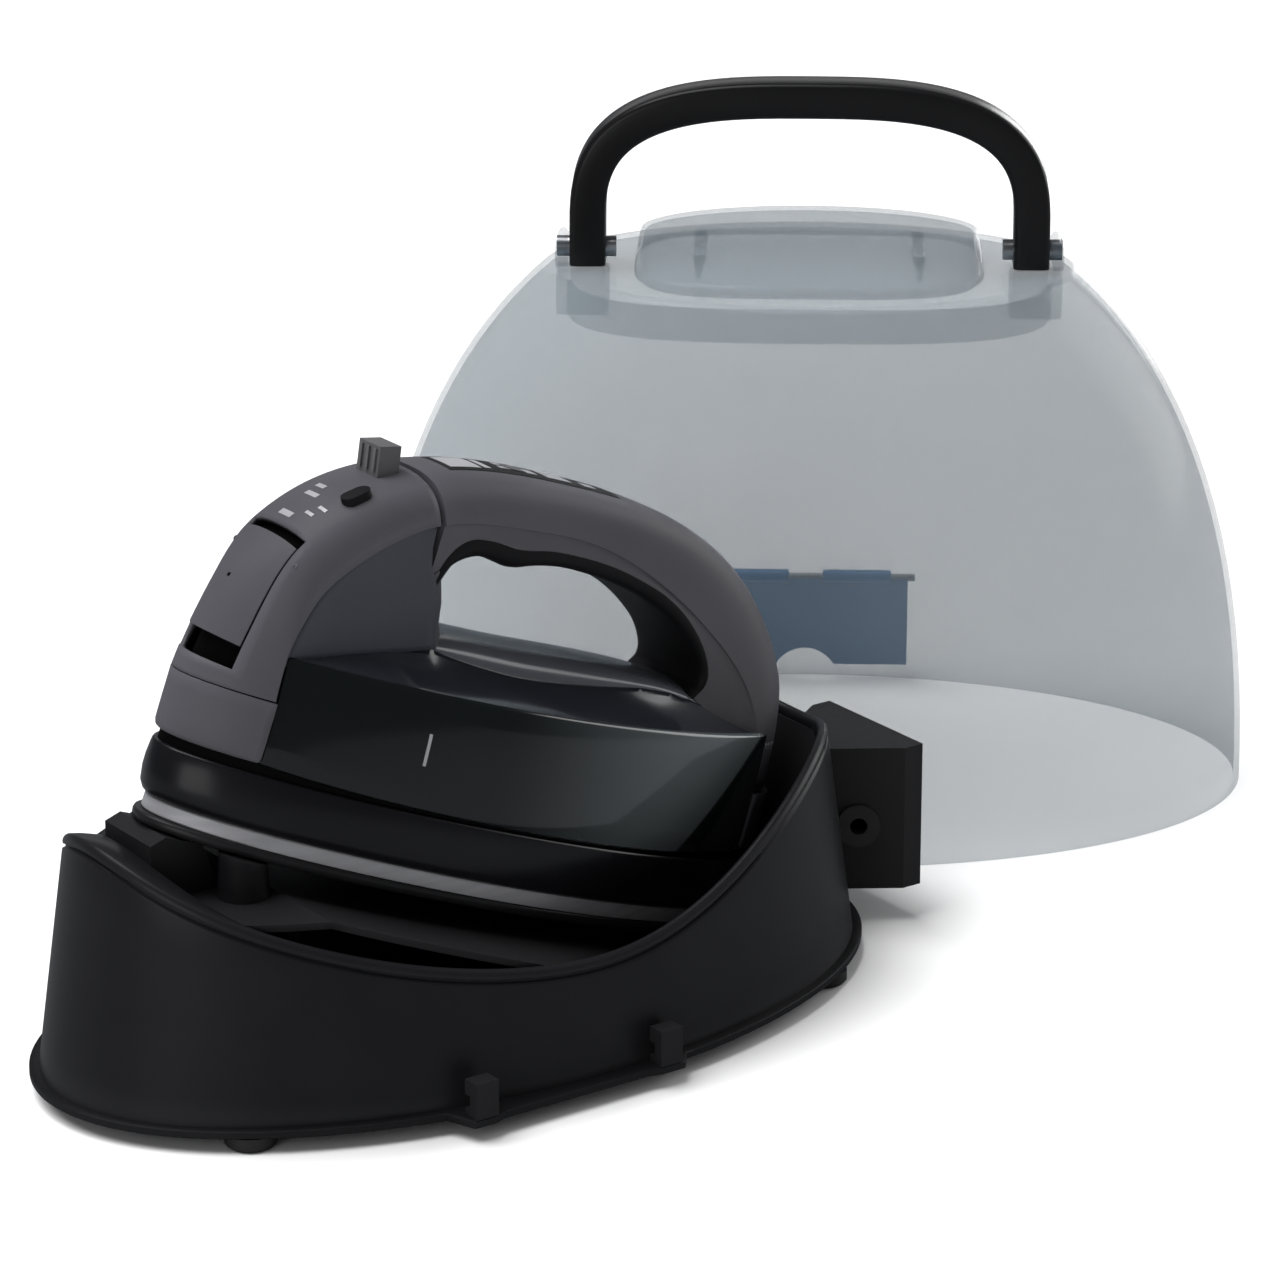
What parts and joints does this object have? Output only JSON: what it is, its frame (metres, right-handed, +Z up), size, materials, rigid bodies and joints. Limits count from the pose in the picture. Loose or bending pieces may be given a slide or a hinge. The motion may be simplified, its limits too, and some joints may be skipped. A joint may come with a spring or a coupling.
{
  "type": "clothes iron",
  "caption": "Cordless steam iron parked nose-up on its oval heating base, with a translucent domed carrying cover and folding carry handle beside it.",
  "frame": {"origin": "on the floor, at the centre of the box round the whole set", "axes": "+X from the iron's nose to its heel, along the heating base; +Y towards the carrying cover; +Z up"},
  "size_m": [0.5627, 0.3566, 0.2784],
  "materials": {
    "base_black": "satin black ABS",
    "base_dark": "matte black plastic",
    "rubber": "matte rubber",
    "steel": "plated steel",
    "alloy": "cast alloy",
    "brass": "tinned brass",
    "ceramic": "heat-resistant moulding",
    "wire": "glass-fibre sleeved wire",
    "sole_dark": "ceramic coated",
    "trim_silver": "satin chrome",
    "skirt_gloss": "gloss black",
    "tank_smoke": "smoky translucent plastic",
    "deck_blue": "satin blue-grey",
    "spine_grey": "fine textured warm grey",
    "panel_grey": "fine textured blue grey",
    "grip_black": "soft-touch black",
    "lever_grey": "ribbed grey",
    "lens": "lens",
    "board": "circuit board",
    "valve_white": "acetal",
    "smoke_cover": "translucent smoke plastic",
    "latch_blue": "translucent blue-grey plastic",
    "handle_black": "satin black"
  },
  "bodies": {
    "base": {"bottom_plate": "base_dark", "base_shell": "base_black", "cradle_tray": "base_dark", "nose_rest": "base_dark", "rest_posts": "base_dark", "contact_housing": "base_dark", "contact_block": "ceramic", "contact_clips": "brass", "supply_leads": "wire", "latch_posts": "base_dark", "base_feet": "rubber", "base_screws": "steel", "cord_box": "base_dark", "cord_box_lid": "base_dark", "cord_grommet": "rubber"},
    "iron": {"soleplate": "sole_dark", "sole_trim": "trim_silver", "heater_block": "alloy", "heating_element": "steel", "steam_chamber_lid": "steel", "thermostat": "ceramic", "skirt": "skirt_gloss", "heat_shield": "steel", "tank_shell": "tank_smoke", "tank_deck": "deck_blue", "filler_neck": "deck_blue", "valve_guide": "valve_white", "nose_cover": "spine_grey", "tail_cover": "spine_grey", "front_spine": "spine_grey", "side_panel_right": "panel_grey", "side_panel_left": "panel_grey", "handle_shell": "spine_grey", "grip_lining": "grip_black", "control_panel": "base_dark", "indicator_lenses": "lens", "circuit_board": "board", "terminal_block": "ceramic", "terminal_blades": "brass", "lever_pin": "steel", "door_pin": "steel", "iron_screws": "steel"},
    "filler_door": {"filler_door": "spine_grey"},
    "steam_lever": {"steam_lever": "lever_grey"},
    "valve_rod": {"steam_valve_rod": "steel"},
    "jet_button": {"jet_button": "grip_black"},
    "temperature_button": {"temperature_button": "lever_grey"},
    "carry_handle": {"carry_handle": "handle_black"},
    "cover_latch": {"cover_latch": "latch_blue"},
    "cover": {"cover_shell": "smoke_cover", "cover_cap": "smoke_cover", "handle_sockets": "smoke_cover", "latch_pin": "steel", "handle_pivots": "steel"}
  },
  "joints": [
    {"name": "iron_lift", "type": "slide", "parent": "base", "child": "iron", "axis": [-0.9336, 0, 0.3584], "range_m": [0, 0.16]},
    {"name": "filler_door_hinge", "type": "hinge", "parent": "iron", "child": "filler_door", "pos_m": [-0.19137, -0.07934, 0.18441], "axis": [0, 1, 0], "range_deg": [0, 50]},
    {"name": "steam_lever_swing", "type": "hinge", "parent": "iron", "child": "steam_lever", "pos_m": [-0.14916, -0.07934, 0.1914], "axis": [0, 1, 0], "range_deg": [-9, 9]},
    {"name": "steam_valve_slide", "type": "slide", "parent": "iron", "child": "valve_rod", "axis": [0.3584, 0, 0.9336], "range_m": [-0.0021, 0.0021]},
    {"name": "jet_button_press", "type": "slide", "parent": "iron", "child": "jet_button", "axis": [0.2081, 0, -0.9781], "range_m": [0, 0.0012], "stiffness_N_per_m": 500, "springref_m": -0.0008},
    {"name": "temperature_button_press", "type": "slide", "parent": "iron", "child": "temperature_button", "axis": [-0.3584, 0, -0.9336], "range_m": [0, 0.0008], "stiffness_N_per_m": 500, "springref_m": -0.0008},
    {"name": "cover_lift", "type": "slide", "parent": "base", "child": "cover", "axis": [0, 0, 1], "range_m": [0, 0.3]},
    {"name": "carry_handle_fold", "type": "hinge", "parent": "cover", "child": "carry_handle", "pos_m": [0.12958, 0.04265, 0.2124], "axis": [0.7944, -0.6074, 0], "range_deg": [0, 88]},
    {"name": "cover_latch_swing", "type": "hinge", "parent": "cover", "child": "cover_latch", "pos_m": [0.19245, 0.12488, 0.044], "axis": [0.7944, -0.6074, 0], "range_deg": [0, 15]}
  ],
  "couplings": [
    {"joint": "steam_valve_slide", "follows": "steam_lever_swing", "m_per_rad": 0.012732}
  ]
}
